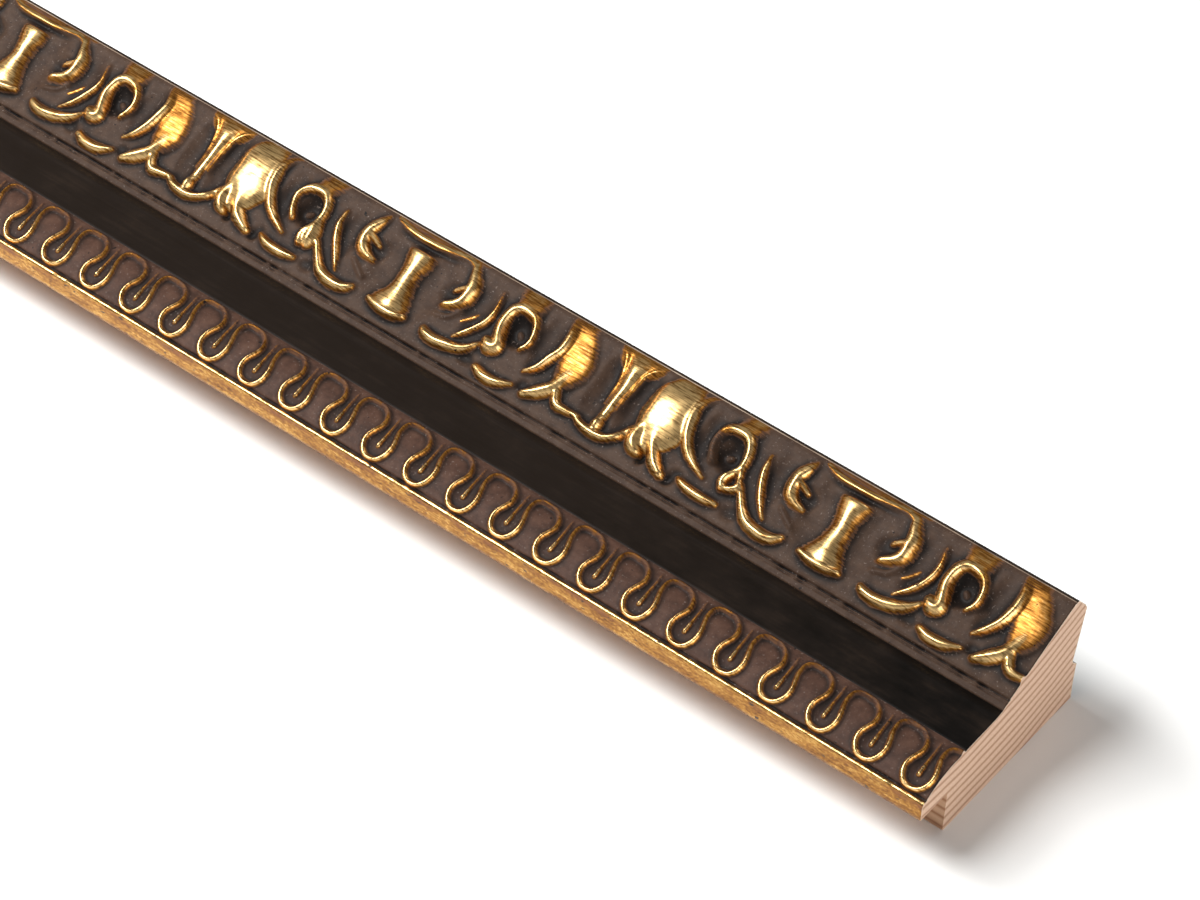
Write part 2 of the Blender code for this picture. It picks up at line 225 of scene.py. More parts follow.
def farHalf(openFoot):
    # the other side of the spool, a freer cut of the same leaves with a broader one;
    # the volute's foot is cut open in one repeat and whole in the others
    rise, root = scroll["rise"], scroll["rootRub"]
    curl = 0.3 if openFoot else 1.0  # the curl over the open foot is hardly rubbed
    if openFoot:
        foot = stroke([(2.21, 4.14, 0.08), (2.15, 3.94, 0.08), (2.08, 3.78, 0.11),
                       (2.20, 3.66, 0.11), (2.35, 3.62, 0.10)], 1.05 * rise)
    else:
        foot = stroke([(2.29, 4.24, 0.13), (2.24, 4.00, 0.19), (2.22, 3.80, 0.21),
                       (2.20, 3.68, 0.15)], 1.2 * rise)
    items = [
        stroke([(1.08, 4.90, 0.05, 0.6), (1.16, 4.70, 0.11), (1.24, 4.49, 0.13), (1.22, 4.27, 0.13),
                (1.08, 4.11, 0.11), (0.84, 4.03, 0.06)], rise, flank=1.5),
        stroke([(1.17, 4.44, 0.07), (1.06, 4.39, 0.08), (0.94, 4.33, 0.06)], 0.85 * rise),
        stroke([(1.89, 4.60, 0.04, 0.8), (1.86, 4.32, 0.08), (1.75, 4.05, 0.09), (1.59, 3.80, 0.09),
                (1.35, 3.52, 0.035)], 0.85 * rise),
        # volute and its foot
        stroke([(2.35, 3.61, 0.10), (2.40, 3.76, 0.12), (2.35, 3.96, 0.12), (2.27, 4.17, 0.12),
                (2.27, 4.38, 0.125), (2.35, 4.58, 0.12), (2.50, 4.69, 0.12), (2.70, 4.69, 0.12),
                (2.88, 4.60, 0.11, max(curl, 0.7)), (2.98, 4.42, 0.10, curl),
                (2.93, 4.20, 0.09, curl), (2.79, 3.98, 0.07, curl)], 1.15 * rise, flank=1.1),
        foot,
        stroke([(2.42, 5.14, 0.30, root, 0.2), (2.46, 4.94, 0.27, root, 0.4),
                (2.56, 4.72, 0.24, root)], 0.9 * rise, plump=5, flatEnds=0.05, feather=0.2),
        stroke([(2.05, 3.80, 0.09), (1.92, 3.64, 0.09), (1.77, 3.48, 0.11), (1.58, 3.33, 0.14),
                (1.30, 3.25, 0.155), (1.05, 3.27, 0.13), (0.85, 3.39, 0.08)], rise),
        stroke([(3.15, 3.39, 0.06, 0.6), (2.98, 3.31, 0.10), (2.74, 3.27, 0.115),
                (2.49, 3.27, 0.11), (2.25, 3.30, 0.07)], 0.85 * rise),
        stroke([(1.20, 3.88, 0.05, 0), (1.02, 3.76, 0.06, 0), (0.82, 3.64, 0.05, 0)], 0.35 * rise),
        stroke([(2.53, 4.24, 0.06, 0.1), (2.60, 4.20, 0.07, 0.1)], 0.5 * rise),
        stroke([(3.36, 5.08, 0.05, 0.5), (3.50, 4.98, 0.08, 0.6), (3.61, 4.70, 0.12, 0.9),
                (3.56, 4.38, 0.14), (3.43, 4.08, 0.13), (3.17, 3.83, 0.11), (2.77, 3.61, 0.05)],
               1.1 * rise),
        stroke([(3.90, 5.14, 0.27, 0.56, 0.15), (3.92, 4.93, 0.31, 0.60, 0.4),
                (3.99, 4.72, 0.42, 0.80, 0.85), (4.04, 4.50, 0.49, 0.95, 1.0), (4.05, 4.20, 0.52)],
               1.2 * rise, plump=3.2, feather=0.08),
        stroke([(3.78, 4.44, 0.30), (3.84, 4.14, 0.40, 1, 0.95), (3.94, 3.90, 0.38, 1, 0.9),
                (4.02, 3.70, 0.26, 1, 0.75)], rise, plump=3.2),
        # toes of the leaf
        stroke([(4.28, 3.84, 0.18, 1, 0.8), (4.29, 3.60, 0.17), (4.21, 3.45, 0.15),
                (4.10, 3.39, 0.11)], 1.1 * rise),
        stroke([(3.96, 3.84, 0.20, 1, 0.8), (3.86, 3.59, 0.18), (3.68, 3.41, 0.16),
                (3.45, 3.28, 0.11)], 1.1 * rise),
        stroke([(4.44, 3.74, 0.10, 0.9, 0.6), (4.57, 3.50, 0.11), (4.72, 3.38, 0.08)],
               0.95 * rise),
    ]
    return [mirrored(item) for item in items]


def spoolStrokes():
    rise = scroll["rise"]
    return [
        stroke([(-0.05, 4.63, 0.36), (-0.05, 4.50, 0.34), (-0.03, 4.28, 0.27), (0, 4.08, 0.25),
                (0, 3.84, 0.28), (0, 3.62, 0.34), (0, 3.46, 0.41), (0, 3.34, 0.46, 1, 0.8)],
               1.2 * rise, plump=2.0, flatEnds=0.05, feather=0.18),
        stroke([(-0.42, 3.36, 0.08), (-0.24, 3.31, 0.105), (0, 3.285, 0.115), (0.24, 3.31, 0.105),
                (0.42, 3.36, 0.08)], 1.25 * rise),
        # bar over the spool and the edge of the hollow above it
        stroke([(-0.90, 5.00, 0.05), (-0.70, 4.95, 0.075), (-0.42, 4.91, 0.08), (0.05, 4.91, 0.08),
                (0.45, 4.96, 0.08), (0.80, 5.00, 0.08), (1.02, 4.92, 0.07)], rise),
        stroke([(-0.95, 5.10, 0.09, 0.5), (0.0, 5.05, 0.10, 0.5), (1.2, 5.10, 0.12, 0.6)],
               0.5 * rise, plump=4),
    ]


def trumpetStrokes():
    # trumpet with a thin rim on each side, the ball at its foot and the crescent below
    rise = scroll["rise"]
    rim = stroke([(0.15, 3.90, 0.035, 0.6), (0.18, 4.35, 0.04, 0.8), (0.26, 4.75, 0.045, 0.9),
                  (0.46, 5.04, 0.05, 0.7)], 0.7 * rise)
    items = [
        stroke([(0, 5.14, 0.60, 0.58, 0.2), (0, 4.95, 0.36, 0.68, 0.5), (0, 4.70, 0.23, 0.9),
                (0, 4.40, 0.17), (0, 4.00, 0.13), (0, 3.58, 0.11)], 1.15 * rise, flatEnds=0.05),
        rim,
        mirrored(rim),
        stroke([(0, 3.58, 0.11), (0, 3.49, 0.14), (0, 3.40, 0.12)], 1.15 * rise),
        stroke([(-0.46, 3.43, 0.07), (-0.25, 3.32, 0.11), (0, 3.28, 0.12), (0.25, 3.32, 0.11),
                (0.46, 3.43, 0.07)], 1.05 * rise),
    ]
    shift = np.array((scroll["trumpetShift"], 0, 0, 0, 0))
    return [{**item, "line": item["line"] + shift} for item in items]


# hollows of the ground on both sides of a spool: centre, radii, depth
scrollHollows = [
    ((2.52, 4.24), (0.33, 0.38), 0.160),  # eye of the volute
    ((0.92, 4.24), (0.30, 0.30), 0.085),  # inside the C-scroll
    ((0.52, 4.10), (0.40, 0.80), 0.070),  # beside the spool
    ((0.25, 4.80), (0.66, 0.09), 0.035),  # under the bar
    ((4.62, 4.20), (0.30, 0.85), 0.090),  # between leaf and trumpet
    ((1.55, 4.25), (0.28, 0.62), 0.065),  # between the C-scroll and the sickle
    ((3.12, 4.30), (0.24, 0.66), 0.065),  # between the volute and the rib
    ((1.95, 3.30), (0.20, 0.16), 0.045),
    ((3.22, 3.42), (0.16, 0.16), 0.045),
]
toeHollows = [  # only behind the toes of the broad leaf
    ((-3.97, 3.40), (0.12, 0.20), 0.110),
    ((-3.30, 3.26), (0.14, 0.13), 0.070),
    ((-4.46, 3.56), (0.10, 0.16), 0.070),
]


# serpentine line and darts, in pitches
serpentine = {
    "firstDart": 0.377,
    "bottom": 0.545,
    "top": 1.57,
    "rise": 0.090,
    "halfWidth": 0.057,
    "sway": 0.010,
    "swaySeed": 21,
    "archRub": 0.39,  # the arches are less rubbed than the loops
    "farArchRub": 0.7,  # and the far shoulder of each arch less still
    "farShoulder": (-0.25, 1.4),  # it lies before the first of these and above the second
    "dartRise": 0.7,  # in the loop's rise
    "dartFootRise": 0.95,
    "loopHollow": ((0, 0.98), (0.26, 0.50), 0.048),  # centre, radii, depth
    "lipLines": [(0.412, 0.045, 0.024), (0.485, 0.034, -0.040)],  # middle, half width, height
    "panelQuirk": (1.665, 0.03, -0.012),
    "wear": (0.5, (1, 170), 31),
    "loop": [(-0.53, 1.565), (-0.41, 1.555), (-0.27, 1.46), (-0.195, 1.33), (-0.18, 1.20),
             (-0.215, 1.08), (-0.265, 0.95), (-0.282, 0.82), (-0.238, 0.68), (-0.13, 0.57),
             (0, 0.545), (0.14, 0.58), (0.238, 0.69), (0.275, 0.83), (0.258, 0.97), (0.21, 1.11),
             (0.165, 1.25), (0.155, 1.38), (0.18, 1.49), (0.26, 1.555), (0.37, 1.575),
             (0.47, 1.565)],
    "dart": [(-0.03, 1.53, 0.022, 0.70), (-0.008, 1.30, 0.028, 0.72), (0, 0.98, 0.036, 0.80)],
    "dartFoot": [(0, 1.00, 0.036, 1.2), (0, 0.82, 0.044, 1.4)],
}


# how every stroke is shaped, apart from what stroke() says of it
strokeShape = {
    "crown": 1.3,  # rounds the top over into the flanks
    "edgeRub": 0.25,  # how far the very edge is rubbed
    "featherShare": 0.75,  # the feather's most, in half widths
    "cutCorner": 0.6,  # squares the corner of a cut end
    "meeting": 5,  # how tightly strokes that meet run into each other
    "hollowRim": 1.2,  # softens the rim of a hollow
}


def squareCut(px, py, inward, end, soft):
    # 1 within a stroke and 0 beyond its end, with an edge as wide as soft
    inward = inward[:2] / np.hypot(*inward[:2])
    depth = (px - end[0]) * inward[0] + (py - end[1]) * inward[1]
    return np.clip(1 + depth / soft, 0, 1) ** strokeShape["cutCorner"]


def windowOf(relief, least, most):
    # the part of the relief between two corners, each across the stick's length and up the face
    columns = np.searchsorted(relief["columns"], (least[0], most[0]))
    rows = np.searchsorted(relief["rows"], (least[1], most[1]))
    return slice(*rows), slice(*columns)


def shaped(relief, item, middle):
    # raises one stroke out of the relief and notes how far it is rubbed to gold
    line = item["line"] + (middle, 0, 0, 0, 0)
    widest = line[:, 2].max()
    reach = widest * max(item["flank"], 1) + 0.02
    window = windowOf(relief, line[:, :2].min(axis=0) - reach, line[:, :2].max(axis=0) + reach)
    px, py = relief["across"][window], relief["up"][window]
    if not px.size:
        return
    best = np.zeros(px.shape)
    rubbed = np.zeros(px.shape)
    edgeRub = strokeShape["edgeRub"]
    for a, b in zip(line, line[1:]):
        run = b[:2] - a[:2]
        size = max(np.hypot(*run), 1e-6)
        raw = ((px - a[0]) * run[0] + (py - a[1]) * run[1]) / size ** 2
        t = np.clip(raw, 0, 1)
        aside = (run[0] * (py - a[1]) - run[1] * (px - a[0])) / size
        half = a[2] + (b[2] - a[2]) * t
        away = np.hypot(aside, np.abs(raw - t) * size)
        q = away / np.where(aside > 0, half * item["flank"], half)
        tall = item["rise"] * np.sqrt(half / widest) * (a[4] + (b[4] - a[4]) * t)
        profile = np.clip(1 - q ** item["plump"], 0, None) ** strokeShape["crown"]
        best = np.maximum(best, tall * profile)
        inside = (1 - q) * half / np.minimum(strokeShape["featherShare"] * half, item["feather"])
        share = np.clip(edgeRub + (1 - edgeRub) * inside, 0, 1)
        rubbed = np.maximum(rubbed, (a[3] + (b[3] - a[3]) * t) * share)
    if item["flatEnds"]:
        cut = np.minimum(squareCut(px, py, line[1] - line[0], line[0], item["flatEnds"]),
                         squareCut(px, py, line[-2] - line[-1], line[-1], item["flatEnds"]))
        best *= cut
        rubbed *= cut
    meeting = strokeShape["meeting"]
    height = relief["height"][window]
    relief["height"][window] = (height ** meeting + best ** meeting) ** (1 / meeting)
    relief["rub"][window] = np.maximum(relief["rub"][window], rubbed)


def hollow(relief, centre, radii, depth):
    # sinks an oval of the ground
    centre, radii = np.array(centre), np.array(radii)
    window = windowOf(relief, centre - radii, centre + radii)
    px, py = relief["across"][window], relief["up"][window]
    q = ((px - centre[0]) / radii[0]) ** 2 + ((py - centre[1]) / radii[1]) ** 2
    relief["ground"][window] -= depth * np.clip(1 - q, 0, 1) ** strokeShape["hollowRim"]


def along(rowsAt, centre, halfWidth, rise):
    # a bead or a quirk that runs the whole length
    return rise * np.clip(1 - ((rowsAt - centre) / halfWidth) ** 2, 0, 1)[:, None]


def smoothNoise(shape, cells, seed):
    # slow handmade unevenness between -1 and 1
    rng = np.random.default_rng(seed)
    knots = rng.uniform(-1, 1, (cells[0] + 2, cells[1] + 2))
    rows = np.linspace(0, cells[0], shape[0])
    columns = np.linspace(0, cells[1], shape[1])
    r, c = rows.astype(int), columns.astype(int)
    fr, fc = (rows - r)[:, None], (columns - c)[None, :]
    fr, fc = fr * fr * (3 - 2 * fr), fc * fc * (3 - 2 * fc)
    top = knots[np.ix_(r, c)] * (1 - fc) + knots[np.ix_(r, c + 1)] * fc
    under = knots[np.ix_(r + 1, c)] * (1 - fc) + knots[np.ix_(r + 1, c + 1)] * fc
    return top * (1 - fr) + under * fr


def blurred(values, passes):
    for _ in range(passes):
        p = np.pad(values, 1, mode="edge")
        values = (p[:-2, 1:-1] + p[2:, 1:-1] + p[1:-1, :-2] + p[1:-1, 2:] + 4 * values) / 8
    return values


def newRelief(columnsAt, rowsAt, sway, seed):
    # empty height, ground and rubbing, on a pattern that strays by sway
    across, up = np.meshgrid(columnsAt, rowsAt)
    cells = (int(rowsAt[-1] - rowsAt[0]) * 2, int(columnsAt[-1] - columnsAt[0]) * 2)
    across += sway * smoothNoise(across.shape, cells, seed)
    up += sway * smoothNoise(across.shape, cells, seed + 1)
    empty = {name: np.zeros(across.shape) for name in ("height", "ground", "rub")}
    return {"columns": columnsAt, "rows": rowsAt, "across": across, "up": up, **empty}


def quirkLines(rowsAt, shape, lines, wear):
    # beads and quirks along the stick, partly filled by old finish
    share, cells, seed = wear
    filled = 1 + share * smoothNoise(shape, cells, seed)
    return sum(along(rowsAt, *line) for line in lines) * filled


def ridgeRoom(rowsAt):
    # how high the ornament may stand over the ground before it passes the ridge, in pitches
    _, groundHeight = onFace(rowsAt * pitch, 0)
    room = (high.z - groundHeight) / mm / pitch / math.cos(scroll["bandSlope"])
    room = np.clip(room - scroll["clearance"], scroll["ridgeRelief"], None)
    return np.where(rowsAt < scroll["ridgeTop"], room, scroll["ridgeRelief"])[:, None]


def scrollRelief(columnsAt, rowsAt):
    s = scroll
    relief = newRelief(columnsAt, rowsAt, s["sway"], s["swaySeed"])
    middles = np.arange(-s["firstSpool"], -pitches - s["repeat"], -s["repeat"])
    for number, middle in enumerate(middles):
        for item in nearHalf() + farHalf(number == 0) + spoolStrokes():
            shaped(relief, item, middle)
        for item in trumpetStrokes():
            shaped(relief, item, middle + s["repeat"] / 2)
        for (across, up), radii, depth in scrollHollows:
            for side in (-1, 1):
                hollow(relief, (middle + side * across, up), radii, depth)
        for (across, up), radii, depth in toeHollows:
            hollow(relief, (middle + across, up), radii, depth)
    carved = blurred(relief["ground"] + relief["height"], s["blend"])
    unevenness = sum(size * smoothNoise(carved.shape, cells, seed)
                     for size, cells, seed in s["unevenness"])
    (foot, footSoft), (top, topSoft) = s["groundEnds"]
    onBand = np.clip((rowsAt - foot) / footSoft, 0, 1) * np.clip((top - rowsAt) / topSoft, 0, 1)
    carved += unevenness * onBand[:, None]
    squeezed = carved / (1 + (carved / ridgeRoom(rowsAt)) ** 4) ** 0.25
    total = np.where(carved > 0, squeezed, carved)
    total *= np.clip((s["ridgeTop"] - rowsAt) / 0.06, 0, 1)[:, None]  # fades out on the ridge
    total += quirkLines(rowsAt, total.shape, s["quirks"], s["wear"])
    total += along(rowsAt, *s["footBead"])
    return total, relief["rub"]


def serpentineRelief(columnsAt, rowsAt):
    s = serpentine
    relief = newRelief(columnsAt, rowsAt, s["sway"], s["swaySeed"])
    left, above = s["farShoulder"]
    rubs = [s["farArchRub"] if x < left and up > above else 1.0 for x, up in s["loop"]]
    loop = stroke([(*point, s["halfWidth"], rub) for point, rub in zip(s["loop"], rubs)],
                  s["rise"])
    loop["line"] = loop["line"][::2]
    dart = stroke(s["dart"], s["dartRise"] * s["rise"])
    dartFoot = stroke(s["dartFoot"], s["dartFootRise"] * s["rise"])
    centre, radii, depth = s["loopHollow"]
    for i in range(-1, int(pitches) + 2):
        middle = -s["firstDart"] - i
        for item in (loop, dart, dartFoot):
            shaped(relief, item, middle)
        hollow(relief, (middle + centre[0], centre[1]), radii, depth)
    up = np.clip((rowsAt - s["bottom"]) / (s["top"] - s["bottom"]), 0, 1)[:, None]
    relief["rub"] *= 1 - (1 - s["archRub"]) * up ** 1.4
    total = blurred(relief["height"] + relief["ground"], 1)
    total += quirkLines(rowsAt, total.shape, s["lipLines"], s["wear"])
    total += along(rowsAt, *s["panelQuirk"])
    return total, relief["rub"]


# the two carved shells, in pitches up the face: bands of rows, each from, to and how many;
# columns along the stick; zones, each with the run that it ends at and its finish
shellJoint = 2.755  # they meet here, at the foot of the fillet
shells = {
    "lip_serpentine_and_panel": {
        "bands": [(0.0, 0.36, 6), (0.36, 0.52, 8), (0.52, 1.64, 47), (1.64, 1.72, 4),
                  (1.72, shellJoint, 6)],
        "columns": 1080,
        "relief": serpentineRelief,
        "zones": [(0.46, "lipGold"), (1.68, "rubbedUmber"), (shellJoint, "blackPanel")],
    },
    "acanthus_scroll_band": {
        "bands": [(shellJoint, 2.86, 3), (2.86, 3.06, 13), (3.06, 5.06, 71), (5.06, 5.08, 1),
                  (5.08, 5.15, 3), (5.15, 5.70, 4), (5.70, 6.90, 2), (6.90, 7.20, 5),
                  (7.20, faceRun, 2)],
        "columns": 900,
        "relief": scrollRelief,
        "zones": [(5.06, "rubbedTaupe"), (5.08, "wornRidge"), (faceRun, "umberSide")],
    },
}
shellDepth = 1.35  # mm from the ground of the face to the shell's underside
gessoDepth = 0.18  # mm, the pale ground that shows at the sawn ends
dirtAndShadeReach = 40  # passes that tell how far a point lies below its surroundings, where dirt collects and painted shade is laid


def rowRuns(shell):
    parts = [np.linspace(a, b, count, endpoint=False) for a, b, count in shell["bands"]]
    return np.concatenate(parts + [[shell["bands"][-1][1]]])


def onBoundary(bm):
    return [e for e in bm.edges if e.is_boundary]


def alongStick(edge):
    return abs(edge.verts[0].co.x - edge.verts[1].co.x) > 0.5


def flatShell(rows, columns):
    # a closed flat pattern: X and Y count the cells, Z counts the layers down
    bm = bmesh.new()
    bmesh.ops.create_grid(bm, x_segments=columns, y_segments=rows, size=0.5)
    bmesh.ops.scale(bm, vec=(columns, rows, 1), verts=bm.verts)
    bmesh.ops.translate(bm, vec=(columns / 2, rows / 2, 0), verts=bm.verts)
    rim = onBoundary(bm)
    for _ in range(2):
        drawn = bmesh.ops.extrude_edge_only(bm, edges=rim)["geom"]
        ring = [v for v in drawn if isinstance(v, bmesh.types.BMVert)]
        bmesh.ops.translate(bm, vec=(0, 0, -1), verts=ring)
        rim = [e for e in onBoundary(bm) if alongStick(e)]
    bmesh.ops.bridge_loops(bm, edges=rim)
    bmesh.ops.holes_fill(bm, edges=onBoundary(bm))
    bmesh.ops.recalc_face_normals(bm, faces=bm.faces)
    return bm


def newPiece(name, bm, finishNames):
    # a finished mesh as an object at the origin
    mesh = bpy.data.meshes.new(name)
    bm.to_mesh(mesh)
    bm.free()
    for finish in finishNames:
        mesh.materials.append(finishes[finish])
    piece = bpy.data.objects.new(name, mesh)
    bpy.context.scene.collection.objects.link(piece)
    return piece, mesh


def carvedShell(name, shell):
    # bends the flat pattern over the section and raises its ornament
    rowsAt, columns = rowRuns(shell), shell["columns"]
    columnsAt = np.linspace(-pitches, 0, columns + 1)
    relief, rub = shell["relief"](columnsAt, rowsAt)
    # how far each point lies below its surroundings, where the paint is darkened by dirt and painted
    # shade
    dirtAndShade = blurred(relief, dirtAndShadeReach) - relief
    finishNames = [finish for _, finish in shell["zones"]] + ["gesso", "sawnPine"]
    piece, mesh = newPiece(name, flatShell(len(rowsAt) - 1, columns), finishNames)
    pattern = np.empty(len(mesh.vertices) * 3)
    mesh.vertices.foreach_get("co", pattern)
    pattern = pattern.reshape(-1, 3)
    column, row, layer = np.rint(pattern).astype(int).T
    run = rowsAt[row] * pitch
    height = relief[row, column] * pitch
    height = np.where(layer == -1, height - gessoDepth, height)
    height = np.where(layer == -2, -shellDepth, height)
    y, z = onFace(run, height)
    x = high.x + columnsAt[column] * pitch * mm
    placed = np.clip(np.column_stack([x, y, z]), low, high)  # never past the solid's box
    mesh.vertices.foreach_set("co", placed.ravel())
    paintZones(mesh, pattern, rowsAt, shell["zones"])
    for label, values in (("rub", rub), ("cavity", dirtAndShade)):
        attribute = mesh.attributes.new(label, "FLOAT", "POINT")
        attribute.data.foreach_set("value", values[row, column])
    attribute = mesh.attributes.new("unrolled", "FLOAT_VECTOR", "POINT")
    attribute.data.foreach_set("vector", np.column_stack([x, run * mm, height * mm]).ravel())
    return piece


def paintZones(mesh, pattern, rowsAt, zones):
    # gives each face its finish by its middle on the flat pattern: a zone on the layer on top,
    # gesso on the first layer down, pine below that
    starts = np.empty(len(mesh.polygons), int)
    totals = np.empty(len(mesh.polygons), int)
    corners = np.empty(len(mesh.loops), int)
    mesh.polygons.foreach_get("loop_start", starts)
    mesh.polygons.foreach_get("loop_total", totals)
    mesh.loops.foreach_get("vertex_index", corners)
    _, row, layer = (np.add.reduceat(pattern[corners], starts, axis=0) / totals[:, None]).T
    onTop, inGesso = layer > -0.1, layer > -0.9
    limits = [limit for limit, _ in zones]
    zone = np.searchsorted(limits, np.interp(row, range(len(rowsAt)), rowsAt))
    index = np.where(onTop, zone, np.where(inGesso, len(zones), len(zones) + 1))
    mesh.polygons.foreach_set("material_index", index)
    mesh.polygons.foreach_set("use_smooth", onTop)


def hexColour(text):
    # sRGB hex to the linear values that the shaders take
    parts = [int(text[i:i + 2], 16) / 255 for i in (1, 3, 5)]
    return tuple(c / 12.92 if c <= 0.04045 else ((c + 0.055) / 1.055) ** 2.4 for c in parts) + (1.0,)


def feed(tree, socket, value):
    # a socket takes a node's first open output, a given output or a plain value
    if isinstance(value, bpy.types.Node):
        value = next(output for output in value.outputs if output.enabled)
    if isinstance(value, bpy.types.NodeSocket):
        tree.links.new(value, socket)
    else:
        socket.default_value = value


def addNode(tree, kind, settings=None, *values, **named):
    # one shader node with its settings; values fill its open sockets in order, named ones by name,
    # and stops are a colour ramp's, each a place and a grey value or a hex colour
    node = tree.nodes.new("ShaderNode" + kind)
    settings = dict(settings or {})
    for i, (position, value) in enumerate(settings.pop("stops", [])):
        elements = node.color_ramp.elements
        element = elements[i] if i < 2 else elements.new(position)
        element.position = position
        element.color = hexColour(value) if isinstance(value, str) else (value, value, value, 1)
    for key, value in settings.items():
        setattr(node, key, value)
    for socket, value in zip([s for s in node.inputs if s.enabled], values):
        feed(tree, socket, value)
    for key, value in named.items():
        feed(tree, node.inputs[key], value)
    return node


def newMaterial(name, tint):
    material = bpy.data.materials.new(name)
    material.use_nodes = True
    material.diffuse_color = hexColour(tint)
    tree = material.node_tree
    return material, tree, tree.nodes["Principled BSDF"]


# cloudy patterns: size of a cloud in mm along the stick, up the face and into it (along X, Y and Z
# for chalk, wood and paper), then detail and roughness
patterns = {
    "goldStreaks": ((3.03, 0.2778, 1.111), 3.0, 0.55),  # left by the cloth that rubbed the gold
    "paintSpeckle": ((0.6667, 0.6667, 0.6667), 2.0, 0.7),
    "paintPatches": ((2.381, 2.381, 2.381), 6.0, 0.65),
    "dust": ((0.4348, 0.4348, 0.4348), 3.0, 0.6),
    "pits": ((1.25, 1.25, 1.25), 3.0, 0.6),
    "paintGrain": ((1.4286, 1.4286, 1.4286), 4.0, 0.55),
    "lipClouds": ((7.692, 1.923, 3.333), 6.0, 0.68),
    "lipSpeckle": ((0.7692, 0.4167, 0.5556), 3.0, 0.7),
    "lipPits": ((2.0, 1.1111, 1.4286), 3.0, 0.6),
    "brushMarks": ((25.0, 0.7143, 2.5), 4.0, 0.55),
    "mottling": ((8.333, 4.545, 5.0), 5.0, 0.62),
    "chalk": ((0.5556, 0.5556, 0.5556), 3.0, 0.55),
    "ringSway": ((166.7, 16.67, 11.11), 2.0, 0.55),
    "woodFibre": ((16.67, 0.4545, 0.4545), 4.0, 0.55),
    "paper": ((16.67, 16.67, 16.67), 3.0, 0.55),
}


def cloudy(tree, place, name):
    # one of the patterns above, with values round a half
    sizes, detail, rough = patterns[name]
    fitted = addNode(tree, "Mapping", None, place, Scale=[1 / (size * mm) for size in sizes])
    return addNode(tree, "TexNoise", None, fitted, 1.0, detail, rough)


# colours of the finishes, read as sRGB
colours = {
    "umberPaint": ("#33241b", "#3f2e23", "#4a382c"),
    "serpentinePaint": ("#35241c", "#463026", "#553d31"),
    "panelPaint": ("#090705", "#0e0b09", "#1e1712"),
    "panelFarTone": "#2c221b",  # what the black turns to towards the far end, lighter and browner
    "sidePaint": ("#1d1612", "#2b211a", "#3a2d23"),
    "ridgeWear": ("#5d4c40", "#8f7c6b", "#b5a390"),
    # dirt and painted shade in the hollows, and the dark of the pits in the gold
    "dirtAndShade": "#140f0d",
    "dust": "#8d7f76",
    "wornEdge": "#5f412d",  # red-brown clay at the edge of the rubbing
    "darkGold": "#7a4f22",
    "gold": "#cf9145",
    # most rubbed gold on the crests, pale enough to serve also as a painted highlight
    "brightGoldAndHighlight": "#fdd490",
    "streakShade": "#7c5a38",
    "lipLeaf": ("#5f3d24", "#895c30", "#aa7838", "#d0a15a"),
    "lipClay": "#8d6049",
    # painted highlight along the lip's arris, cream
    "lipHighlightCream": "#f2cb88",
    # the lip's pits, and the dirt and painted shade in its quirk
    "lipPitAndShade": "#3a2619",
    "chalk": ("#c4a489", "#ead9c4"),
    "gesso": "#e6d8c4",
    "pine": "#d8b69b",
    "yearRing": ("#b88f76", "#d3b096", "#e4c7b0", "#dfc0a8", "#b48a70", "#b88f76"),
    "fibre": ("#c8a488", "#efdfd0", "#fffaf4"),
    "oldWood": "#ddd2c4",  # greys the wood that has met the air for years
}
# settings that many nodes share
blended = {"data_type": "RGBA"}
tinted = {"data_type": "RGBA", "blend_type": "MULTIPLY"}
scaled = {"operation": "MULTIPLY"}
added = {"operation": "MULTIPLY_ADD"}  # the first by the second, plus the third


